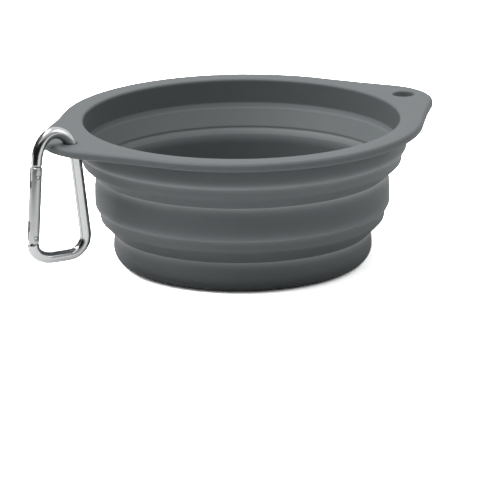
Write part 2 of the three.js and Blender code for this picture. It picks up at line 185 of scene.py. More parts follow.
white_table, tree = open_material("white_table")
path = add_node(tree, "ShaderNodeLightPath").outputs
mirrored = larger(tree, path["Is Glossy Ray"], path["Is Transmission Ray"])
where = add_node(tree, "ShaderNodeTexCoord").outputs["Object"]
from_axis = add_node(tree, "ShaderNodeVectorMath", {0: where}, operation="LENGTH").outputs["Value"]
open_floor = add_node(tree, "ShaderNodeMapRange", {
    "Value": from_axis, "From Min": SHADE_START, "From Max": SHADE_END,
}).outputs["Result"]
color = mix_colors(tree, open_floor, FLOOR_SHADED, FLOOR_BOUNCE)
color = mix_colors(tree, mirrored, color, FLOOR_MIRRORED)
color = mix_colors(tree, path["Is Camera Ray"], color, FLOOR_SEEN)
matte = add_node(tree, "ShaderNodeBsdfDiffuse", {"Color": color})
clear = add_node(tree, "ShaderNodeBsdfTransparent")
from_below = add_node(tree, "ShaderNodeNewGeometry").outputs["Backfacing"]
surface = add_node(tree, "ShaderNodeMixShader", {
    0: from_below, 1: matte.outputs["BSDF"], 2: clear.outputs["BSDF"],
})
show(tree, surface.outputs["Shader"])
table = stage_sheet("table", FLOOR_SIZE, FLOOR_SIZE, -TABLE_GAP, white_table)
print("Floor", table.name, "of", FLOOR_SIZE, "m")

# %% [markdown]
# ## World and lamps
# Product pictures are lit by softboxes: large square lamps whose shadows have no hard edge. One from the
# upper left does most of the work, and a weak one at each side lifts the walls. Each is placed by how
# far it stands to the right of the camera and how high. The world adds a little light from all round,
# and is white where the camera or a mirror image looks past the table.

# %% World and lamps
WORLD_FILL = 0.22
LAMP_DISTANCE = 1.7
# Degrees to the right of the camera, degrees up, size in metres, power in watts
LAMPS = {
    "overhead_softbox": (-90, 62, 1.6, 33.0),
    "left_softbox": (-75, 40, 1.4, 2.4),
    "right_softbox": (75, 40, 1.4, 6.0),
}

bpy.context.scene.view_settings.view_transform = "Standard"


def seen_from(side, height):
    """Turn that points the Z axis so many degrees to the right of the camera and so many degrees up."""
    level = Matrix.Rotation(AZIMUTH + math.radians(side), 4, "Z")
    return level @ Matrix.Rotation(math.radians(90 - height), 4, "X")


world = bpy.data.worlds.new("studio")
bpy.context.scene.world = world
world.use_nodes = True
tree = world.node_tree
path = add_node(tree, "ShaderNodeLightPath").outputs
mirrored = larger(tree, path["Is Glossy Ray"], path["Is Transmission Ray"])
shown = larger(tree, path["Is Camera Ray"], mirrored)
strength = add_node(tree, "ShaderNodeMapRange", {"Value": shown, "To Min": WORLD_FILL, "To Max": 1.0})
background = tree.nodes["Background"]
background.inputs["Color"].default_value = (1, 1, 1, 1)
tree.links.new(strength.outputs["Result"], background.inputs["Strength"])

for name, (side, height, size, power) in LAMPS.items():
    lamp = bpy.data.objects.new(name, bpy.data.lights.new(name, "AREA"))
    lamp.data.shape = "SQUARE"
    lamp.data.size = size
    lamp.data.energy = power
    lamp.matrix_world = seen_from(side, height) @ Matrix.Translation((0, 0, LAMP_DISTANCE))
    bpy.context.scene.collection.objects.link(lamp)
    print(name, "radiance", round(power / (math.pi * size ** 2), 2))

# %% [markdown]
# ## Cards
# Polished metal shows what stands round it. In a white room it would look like paper, so a studio puts
# dark and grey cards beside it, and their mirror images draw its edges. Darker metal would not do, since
# its bright stripes would go too. The cards are seen in mirror images only: the camera looks through
# them and they throw no shadow.

# %% Cards
CLIP_AT = (-80 * MM, 0, 25 * MM)
# Degrees to the right of the camera and up, seen from the clip, then distance, width and height in
# metres, and brightness
CARDS = {
    "dark_card": (-95, 36, 0.30, 0.44, 0.34, 0.015),
    "nose_card": (-24, 27, 0.050, 0.11, 0.052, 0.015),
    "grey_card": (12, 12, 0.60, 1.30, 0.70, 0.45),
}

for name, (side, height, distance, wide, tall, tone) in CARDS.items():
    paint, tree = open_material(name)
    glow = add_node(tree, "ShaderNodeEmission", {"Color": (tone, tone, tone, 1)})
    show(tree, glow.outputs["Emission"])
    card = stage_sheet(name, wide, tall, distance, paint)
    card.matrix_world = Matrix.Translation(CLIP_AT) @ seen_from(side, height)
    card.visible_camera = False
    card.visible_diffuse = False
    card.visible_shadow = False
print("Cards", list(CARDS))

# %% [markdown]
# ## Shared surface effects
# Moulded silicone and metal both have a fine grain that breaks up the gloss, and a broad, faint
# unevenness of tone. Painted textures could give them, but noise has no seams and needs no picture. One
# node group makes both from Object coordinates. A second makes the lines that drawing and polishing leave
# along a metal rod: noise that is stretched a long way along one axis.

# %% Shared surface effects
grain, given, result = open_group(
    "grain_and_mottle",
    {"Vector": "NodeSocketVector", "Grain Scale": "NodeSocketFloat", "Mottle Scale": "NodeSocketFloat"},
    {"Grain": "NodeSocketFloat", "Mottle": "NodeSocketFloat"},
)
fine_noise = add_node(grain, "ShaderNodeTexNoise", {
    "Vector": given["Vector"], "Scale": given["Grain Scale"], "Detail": 2.0,
})
broad_noise = add_node(grain, "ShaderNodeTexNoise", {
    "Vector": given["Vector"], "Scale": given["Mottle Scale"], "Detail": 4.0,
})
grain.links.new(fine_noise.outputs[0], result["Grain"])
grain.links.new(broad_noise.outputs[0], result["Mottle"])

LINE_STRETCH = (0.02, 1, 1)
lines, given, result = open_group(
    "drawn_lines",
    {"Vector": "NodeSocketVector", "Line Scale": "NodeSocketFloat"},
    {"Lines": "NodeSocketFloat"},
)
stretched = add_node(lines, "ShaderNodeVectorMath", {
    0: given["Vector"], 1: LINE_STRETCH,
}, operation="MULTIPLY")
line_noise = add_node(lines, "ShaderNodeTexNoise", {
    "Vector": stretched.outputs[0], "Scale": given["Line Scale"], "Detail": 3.0,
})
lines.links.new(line_noise.outputs[0], result["Lines"])
print("Node groups", [group.name for group in bpy.data.node_groups])

# %% [markdown]
# ## Silicone
# The bowl's silicone is a cool mid grey with a satin, slightly dusty skin. Real silicone lets a little
# light in, but with so much pigment that subsurface scattering would hardly show, so it is made as a
# plastic with a rather rough gloss. The mottle moves its tone and its roughness a little, and the grain
# is a very shallow bump. Pale lines on the edges that stand out are painted highlights, and a faint lift
# on the webs is painted light, as strong as a point attribute says.

# %% Silicone
SILICONE_DARK = (0.125, 0.139, 0.144, 1)
SILICONE_LIGHT = (0.143, 0.157, 0.162, 1)
# Pale colour of the painted highlights on the edges and of the painted light on the webs
SILICONE_PAINTED_LIGHT = (0.46, 0.485, 0.493, 1)
SILICONE_SPECULAR = 0.25
SMOOTHEST = 0.46
ROUGHEST = 0.58
SILICONE_GRAIN = 2600.0
SILICONE_MOTTLE = 160.0
GRAIN_STRENGTH = 0.12
GRAIN_DEPTH = 0.05 * MM

silicone, tree = open_material("moulded_silicone")
shader = tree.nodes["Principled BSDF"]
where = add_node(tree, "ShaderNodeTexCoord").outputs["Object"]
effect = add_node(tree, "ShaderNodeGroup", {
    "Vector": where, "Grain Scale": SILICONE_GRAIN, "Mottle Scale": SILICONE_MOTTLE,
}, node_tree=grain).outputs
# Painted highlights and painted light: a point attribute mixes the pale colour into the tone
painted_light_share = add_node(tree, "ShaderNodeAttribute", attribute_name="painted_light").outputs["Fac"]
tone = mix_colors(tree, effect["Mottle"], SILICONE_DARK, SILICONE_LIGHT)
tone = mix_colors(tree, painted_light_share, tone, SILICONE_PAINTED_LIGHT)
gloss = add_node(tree, "ShaderNodeMapRange", {
    "Value": effect["Mottle"], "To Min": SMOOTHEST, "To Max": ROUGHEST,
})
bump = add_node(tree, "ShaderNodeBump", {
    "Height": effect["Grain"], "Strength": GRAIN_STRENGTH, "Distance": GRAIN_DEPTH,
})
tree.links.new(tone, shader.inputs["Base Color"])
tree.links.new(gloss.outputs["Result"], shader.inputs["Roughness"])
tree.links.new(bump.outputs["Normal"], shader.inputs["Normal"])
shader.inputs["Specular IOR Level"].default_value = SILICONE_SPECULAR
print("Material", silicone.name)

# %% [markdown]
# ## Metals
# The clip's rod is polished aluminium, its gate is the same metal with a satin finish, and the pins,
# plunger and spring are bright steel. They differ in tone, in how rough they are and in where their
# drawn lines run, so one function makes all three. The lines follow the bends of the rod by its UV map,
# and run straight along the gate by Object coordinates that are turned with it.

# %% Metals
METAL_MOTTLE = 220.0
LINE_DEPTH = 0.02 * MM

gate_along = np.array(joints["plunger_slide"]["axis"])
gate_lean = math.atan2(gate_along[0], gate_along[2])


def metal(name, color, roughness, spread, line_scale, line_strength, along_uv=False):
    """Metal whose roughness wanders by the mottle within the spread, with drawn lines as a shallow bump.
    The lines run along U of the UV map, or else along the gate."""
    material, tree = open_material(name)
    shader = tree.nodes["Principled BSDF"]
    coordinates = add_node(tree, "ShaderNodeTexCoord").outputs
    line_vector = coordinates["UV"]
    if not along_uv:
        line_vector = add_node(tree, "ShaderNodeMapping", {
            "Vector": coordinates["Object"], "Rotation": (0, math.pi / 2 - gate_lean, 0),
        }).outputs["Vector"]
    effect = add_node(tree, "ShaderNodeGroup", {
        "Vector": coordinates["Object"], "Mottle Scale": METAL_MOTTLE,
    }, node_tree=grain).outputs
    drawn = add_node(tree, "ShaderNodeGroup", {
        "Vector": line_vector, "Line Scale": line_scale,
    }, node_tree=lines).outputs
    gloss = add_node(tree, "ShaderNodeMapRange", {
        "Value": effect["Mottle"], "To Min": roughness - spread, "To Max": roughness + spread,
    })
    bump = add_node(tree, "ShaderNodeBump", {
        "Height": drawn["Lines"], "Strength": line_strength, "Distance": LINE_DEPTH,
    })
    tree.links.new(gloss.outputs["Result"], shader.inputs["Roughness"])
    tree.links.new(bump.outputs["Normal"], shader.inputs["Normal"])
    shader.inputs["Base Color"].default_value = (*color, 1)
    shader.inputs["Metallic"].default_value = 1
    return material


polished = metal(
    "polished_aluminium", color=(0.55, 0.56, 0.565), roughness=0.16, spread=0.05,
    line_scale=2500.0, line_strength=0.15, along_uv=True,
)
satin = metal(
    "satin_aluminium", color=(0.50, 0.51, 0.515), roughness=0.40, spread=0.06,
    line_scale=3500.0, line_strength=0.4,
)
steel = metal(
    "bright_steel", color=(0.62, 0.63, 0.65), roughness=0.24, spread=0.05,
    line_scale=3000.0, line_strength=0.2,
)
print("Materials", polished.name, satin.name, steel.name)

# %% [markdown]
# ## From arrays to meshes
# Adding points one by one in a Python loop is slow, so each piece below is a whole array: a grid of
# points with rows along a profile and columns round it. The helpers number the four-cornered faces
# between neighbours on the grid, put the arrays into a mesh, and weld points that fall together, which
# closes seams and poles. A closed mesh whose faces point outwards has a positive volume and no open
# edges, so both are printed as a check.

# %% From arrays to meshes
WELD = 0.002 * MM
EDGE_ANGLE = math.radians(38)


def grid_faces(rows, columns, close_rows=False, close_columns=False):
    """Corner numbers of the faces on a grid of points, which may close on itself in either direction."""
    row, column = np.meshgrid(
        np.arange(rows - (not close_rows)), np.arange(columns - (not close_columns)), indexing="ij",
    )
    next_row = (row + 1) % rows
    next_column = (column + 1) % columns
    corners = [
        row * columns + column,
        row * columns + next_column,
        next_row * columns + next_column,
        next_row * columns + column,
    ]
    return np.stack(corners, axis=-1).reshape(-1, 4)


def new_piece(name, points, faces, material, uv=None):
    """Object of a mesh with these points and four-cornered faces, welded, smooth, with its edges kept."""
    used, faces = np.unique(faces, return_inverse=True)
    faces = faces.reshape(-1, 4)
    points = points.reshape(-1, 3)[used]
    mesh = bpy.data.meshes.new(name)
    mesh.vertices.add(len(points))
    mesh.vertices.foreach_set("co", points.astype(np.float32).ravel())
    mesh.loops.add(faces.size)
    mesh.loops.foreach_set("vertex_index", faces.astype(np.int32).ravel())
    mesh.polygons.add(len(faces))
    mesh.polygons.foreach_set("loop_start", np.arange(0, faces.size, 4, dtype=np.int32))
    mesh.update(calc_edges=True)
    if uv is not None:
        flat = uv.reshape(-1, 2)[used][faces.ravel()]
        mesh.uv_layers.new(name="lay").data.foreach_set("uv", flat.astype(np.float32).ravel())
    return finish_mesh(name, mesh, material)


def finish_mesh(name, mesh, material):
    """Welds a mesh, shades it smooth except across its edges, and makes an object of it."""
    shell = bmesh.new()
    shell.from_mesh(mesh)
    bmesh.ops.remove_doubles(shell, verts=shell.verts, dist=WELD)
    bmesh.ops.dissolve_degenerate(shell, edges=shell.edges, dist=WELD / 2)
    volume = shell.calc_volume(signed=True) / MM ** 3
    gaps = sum(not edge.is_manifold for edge in shell.edges)
    shell.to_mesh(mesh)
    shell.free()
    mesh.shade_smooth()
    mesh.set_sharp_from_angle(angle=EDGE_ANGLE)
    mesh.materials.clear()
    mesh.materials.append(material)
    piece = bpy.data.objects.new(name, mesh)
    bpy.context.scene.collection.objects.link(piece)
    print(f"{name}: {len(mesh.polygons)} faces, {volume:.0f} cubic mm, {gaps} open edges")
    return piece


def dress(piece, body, node):
    """The piece moves with a body and stands for a CAD node, which is hidden."""
    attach(piece, body)
    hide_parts(node)


# %% [markdown]
# ## Lines with rounded corners
# The profile of the bowl's wall and the line of the clip's rod are both straight runs with rounded
# corners. A Bevel modifier could round them later, but here each corner needs a radius of its own. An arc
# of radius R that touches both runs starts R / tan(half the corner's angle) before the corner, and its
# centre lies R / sin(half the angle) from the corner, on the line that halves it. The edges of rims,
# holes and pins are plain quarter circles: arc_rise goes from 0 to 1 and arc_fall from 1 to 0.

# %% Lines with rounded corners
ARC_STEP = math.radians(6)
ROUND_ROWS = 7

quarter_turn = np.linspace(0, math.pi / 2, ROUND_ROWS)
arc_rise = 1 - np.cos(quarter_turn)
arc_fall = 1 - np.sin(quarter_turn)


def unit(vectors):
    """Vectors of length one in the same directions."""
    return vectors / np.linalg.norm(vectors, axis=-1, keepdims=True)


def corner_arc(before, corner, after, radius):
    """Points of the arc of that radius that touches both runs which meet in the corner."""
    back, ahead = unit(before - corner), unit(after - corner)
    half = math.acos(np.clip(back @ ahead, -1, 1)) / 2
    outward, onward = -unit(back + ahead), unit(ahead - back)
    centre = corner - outward * radius / math.sin(half)
    turn = math.pi / 2 - half
    sweep = np.linspace(-turn, turn, 2 + int(2 * turn / ARC_STEP))[:, None]
    return centre + radius * (np.cos(sweep) * outward + np.sin(sweep) * onward)


def rounded_line(corners):
    """Line through corners (x, y, radius), with the first and last corner as its ends."""
    places = np.array([corner[:2] for corner in corners])
    arcs = [
        corner_arc(places[number - 1], places[number], places[number + 1], corners[number][2])
        for number in range(1, len(corners) - 1)
    ]
    return np.vstack([places[:1], *arcs, places[-1:]])


def fill_runs(line, longest):
    """Line with its straight runs split into equal steps no longer than the given length."""
    runs = np.diff(line, axis=0)
    parts = np.maximum(1, np.ceil(np.linalg.norm(runs, axis=1) / longest)).astype(int)
    run = np.repeat(np.arange(len(parts)), parts)
    share = (np.arange(parts.sum()) - np.repeat(np.cumsum(parts) - parts, parts)) / parts[run]
    return np.vstack([line[run] + runs[run] * share[:, None], line[-1:]])


# %% [markdown]
# ## The wall's profile
# Cut through the bowl and the wall shows one outer and one inner line. Going up outside, each ring leans
# in over a long soft shoulder to a crease, then the web slopes out to a short steep band, and the next
# ring starts with a notch and a round edge. Inside, a round bead and a narrow groove lie level with the
# crease and the web, and a sloped ledge with the notch. A drawn curve could follow this, but here levels
# and radii come from the frame, so the profile fits the CAD model, and one loop makes both steps.

# %% The wall's profile
# Walls, floor and foot
WALL = 2.5 * MM
RIM_THICKNESS = 3.0 * MM
FLOOR = 2.6 * MM
FLOOR_ROUND = 2.5 * MM
FOOT_ROUND = 6.3 * MM
# Start of a ring: notch and round edge outside, sloped ledge inside
EDGE_STEP = 1.4 * MM
EDGE_NECK = 0.4 * MM
EDGE_RISE = 1.2 * MM
EDGE_ROUND = 3.0 * MM
NOTCH_ROUND = 0.25 * MM
NECK_WALL = 2.2 * MM
LEDGE_FOOT = 1.3 * MM
LEDGE_RISE = 1.8 * MM
LEDGE_ROUND = 1.0 * MM
# Head of a ring: shoulder and crease outside, bead inside
SHOULDER_DROP = 4.5 * MM
SHOULDER_DEPTH = 0.5 * MM
SHOULDER_ROUND = 20.0 * MM
CREASE_RISE = 0.5 * MM
CREASE_ROUND = 0.25 * MM
BEAD_RISE = 0.2 * MM
BEAD_ROUND = 6.5 * MM
# Web: steep band outside, groove inside
BAND_HEIGHT = 3.2 * MM
BAND_TAPER = 0.6 * MM
WEB_ROUND = 1.2 * MM
INNER_BEND_DROP = 2.4 * MM
INNER_TAPER = 2.9 * MM
INNER_GROOVE = 0.8 * MM
INNER_CREASE_ROUND = 0.9 * MM
# Longest step between points of the profile
ROW_STEP = 0.45 * MM

base_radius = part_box("base_cup")[1].x
middle_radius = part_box("middle_ring")[1].x
rim_wall_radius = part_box("upper_fold_web")[1].x + EDGE_STEP
base_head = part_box("base_cup")[1].z
middle_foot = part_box("middle_ring")[0].z
middle_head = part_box("middle_ring")[1].z
rim_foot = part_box("rim_ring")[0].z
rim_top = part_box("rim_ring")[1].z
opening_radius = rim_wall_radius - WALL
steps = [
    (base_radius, base_head, middle_radius, middle_foot),
    (middle_radius, middle_head, rim_wall_radius, rim_foot),
]

outer_corners = [(0, 0), (base_radius, 0, FOOT_ROUND)]
inner_corners = [(0, FLOOR), (base_radius - WALL, FLOOR, FLOOR_ROUND)]
for lower, head, upper, foot in steps:
    crease = head + CREASE_RISE
    neck = upper - EDGE_STEP
    bend = neck - BAND_TAPER
    notch = foot + EDGE_NECK
    ledge = foot + LEDGE_FOOT
    groove = neck - NECK_WALL - INNER_TAPER
    groove_foot = foot - BAND_HEIGHT - INNER_BEND_DROP
    outer_corners += [
        (lower, crease - SHOULDER_DROP, SHOULDER_ROUND),
        (lower - SHOULDER_DEPTH, crease, CREASE_ROUND),
        (bend, foot - BAND_HEIGHT, WEB_ROUND),
        (neck, notch, NOTCH_ROUND),
        (upper, notch + EDGE_RISE, EDGE_ROUND),
    ]
    inner_corners += [
        (lower - WALL, head + BEAD_RISE, BEAD_ROUND),
        (groove, groove_foot, INNER_CREASE_ROUND),
        (groove, groove_foot + INNER_GROOVE, INNER_CREASE_ROUND),
        (neck - NECK_WALL, ledge, LEDGE_ROUND),
        (upper - WALL, ledge + LEDGE_RISE, LEDGE_ROUND),
    ]
outer_line = fill_runs(rounded_line(outer_corners + [(rim_wall_radius, rim_top)])[1:], ROW_STEP)
inner_line = fill_runs(rounded_line(inner_corners + [(opening_radius, rim_top)])[1:], ROW_STEP)
print("Wall profile:", len(outer_line), "points outside and", len(inner_line), "inside")

# %% [markdown]
# ## Painted highlights on the edges
# Thin pale lines along the moulding's edges that stand out are painted highlights, and an even lift on
# the webs is painted light. A node could find edges by their curvature, but that depends on the mesh and
# follows every edge alike. Here the profile knows where its lines are, so each point stores how much
# painted light it gets, and the silicone reads that attribute.

# %% Painted highlights on the edges
# Painted highlights: strength and reach of the pale lines on edges, heads, ledges and plate, then the
# painted light on the webs
EDGE_HIGHLIGHT = 0.65
EDGE_HIGHLIGHT_RISE = 1.3 * MM
HEAD_HIGHLIGHT = 1.0
HIGHLIGHT_FADE = 1.2 * MM
LEDGE_HIGHLIGHT = 0.24
LEDGE_LINE = 0.5 * MM
PLATE_HIGHLIGHT = 0.22
PLATE_LINE = 0.3 * MM
WEB_PAINTED_LIGHT = 0.14


def store_painted_light(piece):
    """Stores the painted light of each point: a share times exp(-distance / fade) from the nearest line. The
    lines are painted highlights on the round edge and the head of each ring outside, its ledge inside, and
    the rim plate's lower edge. The webs get an even share of painted light."""
    place = np.empty(3 * len(piece.data.vertices), dtype=np.float32)
    piece.data.vertices.foreach_get("co", place)
    radius = np.hypot(place[0::3], place[1::3])
    height = place[2::3]
    middle_line = (np.interp(height, *outer_line.T[::-1]) + np.interp(height, *inner_line.T[::-1])) / 2
    outside = radius > middle_line
    on_plate = radius > rim_wall_radius + WALL
    plate_edge = np.abs(height - rim_top + RIM_THICKNESS - PLATE_LINE) / PLATE_LINE
    painted_light = np.where(on_plate, PLATE_HIGHLIGHT * np.exp(-plate_edge), 0)
    for lower, head, upper, foot in steps:
        above = height - foot - EDGE_HIGHLIGHT_RISE
        below = head + CREASE_RISE - height
        edge = EDGE_HIGHLIGHT * np.exp(-np.where(above > 0, above / HIGHLIGHT_FADE, -above / EDGE_HIGHLIGHT_RISE))
        crown = HEAD_HIGHLIGHT * np.where(below > 0, np.exp(-below / HIGHLIGHT_FADE), 0)
        ledge = LEDGE_HIGHLIGHT * np.exp(-np.abs(height - foot - LEDGE_FOOT) / LEDGE_LINE)
        line = np.where(outside, np.maximum(edge, crown), ledge)
        # Painted light: an even lift on the webs
        web = WEB_PAINTED_LIGHT * ((below < 0) & (above < 0))
        painted_light = np.max([painted_light, line, web], axis=0)
    layer = piece.data.attributes.new("painted_light", "FLOAT", "POINT")
    layer.data.foreach_set("value", painted_light.astype(np.float32))
    print(f"{piece.name}: pale up to {painted_light.max():.2f}")
    return piece


# %% [markdown]
# ## Rings
# A closed piece of wall is the outer line between two heights, then the inner line back down, turned
# about the bowl's axis. A Screw modifier would turn it too, but in even steps. These columns crowd
# together near the two lugs, where the rim needs them, and all five pieces of the bowl share them, so
# neighbours meet without a gap. The cup's profile starts and ends on the axis, which closes its floor.

# %% Rings
COLUMNS = 480
CROWDING = 0.5

even = 2 * math.pi * np.arange(COLUMNS) / COLUMNS
angles = even - CROWDING * np.sin(2 * even) / 2


def stretch(line, low, high):
    """The part of a rising line between two heights, with its ends cut exactly there."""
    ends = np.interp([low, high], line[:, 1], line[:, 0])
    inside = line[(line[:, 1] > low) & (line[:, 1] < high)]
    return np.vstack([[ends[0], low], inside, [ends[1], high]])


def turn_about_axis(profile):
    """Grid of points (r cos a, r sin a, z): a row for each profile point (r, z), a column for each a."""
    radius, height = profile[:, :1], profile[:, 1:]
    return np.stack([radius * np.cos(angles), radius * np.sin(angles), height + 0 * angles], axis=-1)


def wall_piece(name, low, high):
    """Closed ring of the bowl's wall between two heights."""
    profile = np.vstack([stretch(outer_line, low, high), stretch(inner_line, low, high)[::-1]])
    faces = grid_faces(len(profile), COLUMNS, close_rows=True, close_columns=True)
    return store_painted_light(new_piece(name, turn_about_axis(profile), faces, silicone))


cup_profile = np.vstack([
    [[0, 0]],
    outer_line[outer_line[:, 1] < base_head],
    stretch(outer_line, base_head - ROW_STEP, base_head)[-1:],
    stretch(inner_line, base_head - ROW_STEP, base_head)[-1:],
    inner_line[inner_line[:, 1] < base_head][::-1],
    [[0, FLOOR]],
])
cup_faces = grid_faces(len(cup_profile), COLUMNS, close_columns=True)
cup = store_painted_light(new_piece("cup", turn_about_axis(cup_profile), cup_faces, silicone))
dress(cup, "base", "base_cup")
middle = wall_piece("middle_wall", middle_foot, middle_head)
dress(middle, "middle", "middle_ring")

# %% [markdown]
# ## Folding webs
# A web belongs to two rings at once. When the lower ring slides up into the upper one, the web's steep
# band stays with the upper ring and the slope below it rolls over. A rigid web would cut through the
# rings when they slide. Here each web is made at rest, as a closed piece of wall between its two rings,
# in place of its CAD node.

for name, node, low, high, upper_body, lower_body in [
    ("lower_web", "lower_fold_web", base_head, middle_foot, "middle", "base"),
    ("upper_web", "upper_fold_web", middle_head, rim_foot, "rim", "middle"),
]:
    web = wall_piece(name, low, high)
    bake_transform(web)
    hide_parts(node)

# %% [markdown]
# ## Outline of the rim
# Seen from above, the rim is a circle with two lugs. A lug is a round tip joined to the circle by two
# hollow flanks, so the outline is made of arcs that touch. It could be a filled curve, but in polar form
# it takes the same columns as the wall: each arc is where the ray at an angle meets its circle, on the
# far side of the tip circle or the near side of the flank circle. The normal points away from the tip's
# centre and towards the flank's centre. The back flank of the clip's lug is a little fuller than the
# others, by a smooth bump of the form exp(-(angle / spread)^2).

# %% Outline of the rim
TIP_RADIUS = 22.5 * MM
FLANK_RADIUS = 400 * MM
PULL = 2.6 * MM
PULL_ANGLE = math.radians(165)
PULL_SPREAD = math.radians(12.5)

rim_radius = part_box("rim_ring")[1].y
lug_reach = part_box("rim_ring")[1].x
tip_centre = lug_reach - TIP_RADIUS
rim_to_flank = rim_radius + FLANK_RADIUS
tip_to_flank = TIP_RADIUS + FLANK_RADIUS
flank_angle = math.acos(
    (rim_to_flank ** 2 + tip_centre ** 2 - tip_to_flank ** 2) / (2 * rim_to_flank * tip_centre)
)
flank_centre = rim_to_flank * np.array([math.cos(flank_angle), math.sin(flank_angle)])
tip_turn = unit(flank_centre - [tip_centre, 0])
tip_end = math.atan2(TIP_RADIUS * tip_turn[1], tip_centre + TIP_RADIUS * tip_turn[0])


def rim_outline():
    """Points of the outline and its outward normals at the bowl's angles, worked out in one quarter."""
    ray = np.stack([np.abs(np.cos(angles)), np.abs(np.sin(angles))], axis=-1)
    angle = np.arctan2(ray[:, 1], ray[:, 0])[:, None]
    along = ray @ flank_centre
    near = np.maximum(along ** 2 - flank_centre @ flank_centre + FLANK_RADIUS ** 2, 0)
    far = np.maximum(TIP_RADIUS ** 2 - (tip_centre * ray[:, 1]) ** 2, 0)
    tip = (tip_centre * ray[:, 0] + np.sqrt(far))[:, None] * ray
    flank = (along - np.sqrt(near))[:, None] * ray
    which = [angle < tip_end, angle < flank_angle]
    outline = np.select(which, [tip, flank], rim_radius * ray)
    normal = np.select(which, [tip - [tip_centre, 0], flank_centre - flank], ray)
    quarter = np.sign(np.stack([np.cos(angles), np.sin(angles)], axis=-1))
    return outline * quarter, unit(normal) * quarter


outline, outline_normal = rim_outline()
outline += outline_normal * PULL * np.exp(-((angles - PULL_ANGLE) / PULL_SPREAD) ** 2)[:, None]
print("Rim outline:", np.round(np.abs(outline).max(0) / MM, 2), "mm from the axis")

# %% [markdown]
# ## Plate of the rim
# The flat plate lies between the wall's circle and the outline, and its rows are a plain mix of the two.
# Boolean cuts for the two lug holes would leave long, thin faces on the flat top, so the holes come from
# the same grid: a block of faces is left out, and the points round it are pushed from the square block to
# a circle, less and less further out. The free hole is the wider one, and the clip's hole hugs the rod.

# %% Plate of the rim
EDGE_TOP_ROUND = 1.3 * MM
EDGE_FOOT_ROUND = 0.9 * MM
UNDER_FILLET = 1.2 * MM
MOUTH_ROUND = 0.9 * MM
FREE_HOLE = 3.9 * MM
FREE_HOLE_INSET = 8.8 * MM
CLIP_HOLE = 2.6 * MM
CLIP_HOLE_INSET = 7.2 * MM
HOLE_EDGE = 0.6 * MM
PLATE_ROWS = 24
HOLE_ROW = 9
HOLE_HALF_ROWS = 5
HOLE_HALF_COLUMNS = 8

plate_foot = rim_top - RIM_THICKNESS
hole_distance = lug_reach - FREE_HOLE_INSET
edge_inset = max(EDGE_TOP_ROUND, EDGE_FOOT_ROUND)
hole_share = HOLE_ROW / PLATE_ROWS
plate_start = (hole_distance - (lug_reach - edge_inset) * hole_share) / (1 - hole_share)


def level_rows(flat, heights):
    """Rows of points: an array of rows by columns by (x, y), raised to one height for each row."""
    height = np.broadcast_to(np.reshape(heights, (-1, 1, 1)), flat.shape[:2] + (1,))
    return np.concatenate([flat, height], axis=-1)


def inset_rows(insets, heights):
    """Rows that follow the outline, each set in by a distance and raised to a height."""
    return level_rows(outline - outline_normal * np.reshape(insets, (-1, 1, 1)), heights)


def hole_grid():
    """Position of each plate point in the block round its lug hole: its row and column from the hole's
    middle, as a share of the block's half size. The larger of the two is 1 on the edge of the block."""
    row = (np.arange(PLATE_ROWS + 1) - HOLE_ROW) / HOLE_HALF_ROWS
    half_turn = COLUMNS // 2
    column = (np.arange(COLUMNS) + half_turn // 2) % half_turn - half_turn // 2
    return np.maximum(np.abs(row)[:, None], np.abs(column / HOLE_HALF_COLUMNS))


def plate_rows():
    """Flat rows (x, y) from the wall's circle to the inset outline, pushed clear of the two round holes.
    A point at ring s of its block, which is 1 on the block's edge, moves to the distance (1 - t) hole +
    t (its distance, scaled to the last ring), where t goes from 0 on that edge to 1 on the last ring."""
    share = np.linspace(0, 1, PLATE_ROWS + 1)[:, None, None]
    circle = plate_start * np.stack([np.cos(angles), np.sin(angles)], axis=-1)
    flat = (1 - share) * circle + share * (outline - outline_normal * edge_inset)
    side = np.sign(np.cos(angles))[:, None]
    radius = np.where(side > 0, FREE_HOLE, CLIP_HOLE)
    inset = np.where(side > 0, FREE_HOLE_INSET, CLIP_HOLE_INSET)
    centre = side * (lug_reach - inset) * [1, 0]
    away = flat - centre
    distance = np.linalg.norm(away, axis=-1, keepdims=True)
    ring = np.maximum(hole_grid(), 1)[..., None]
    last = HOLE_ROW / HOLE_HALF_ROWS
    mix = (ring - 1) / (last - 1)
    pushed = (1 - mix) * (radius + HOLE_EDGE) + mix * distance * last / ring
    return np.where(ring < last, centre + away / np.maximum(distance, WELD) * pushed, flat)


def hole_loop():
    """Plate rows and columns of the points round the block that is left out, clockwise from above."""
    rows = np.arange(-HOLE_HALF_ROWS, HOLE_HALF_ROWS)
    columns = np.arange(-HOLE_HALF_COLUMNS, HOLE_HALF_COLUMNS)
    row = np.concatenate([0 * columns - HOLE_HALF_ROWS, rows, 0 * columns + HOLE_HALF_ROWS, -rows])
    column = np.concatenate([columns, 0 * rows + HOLE_HALF_COLUMNS, -columns, 0 * rows - HOLE_HALF_COLUMNS])
    return row + HOLE_ROW, column


plate = plate_rows()
print("Rim plate:", plate.shape[0], "rows of", plate.shape[1], "points")

# %% [markdown]
# ## Rim with its lugs
# The rim is the top ring of the wall with the plate round it, in one piece. Rows run up the outside of
# the wall, out under the plate, round its edge, back in over the top, over the mouth and down the inside.
# A ring of faces with rounded edges then joins top and bottom in each hole.

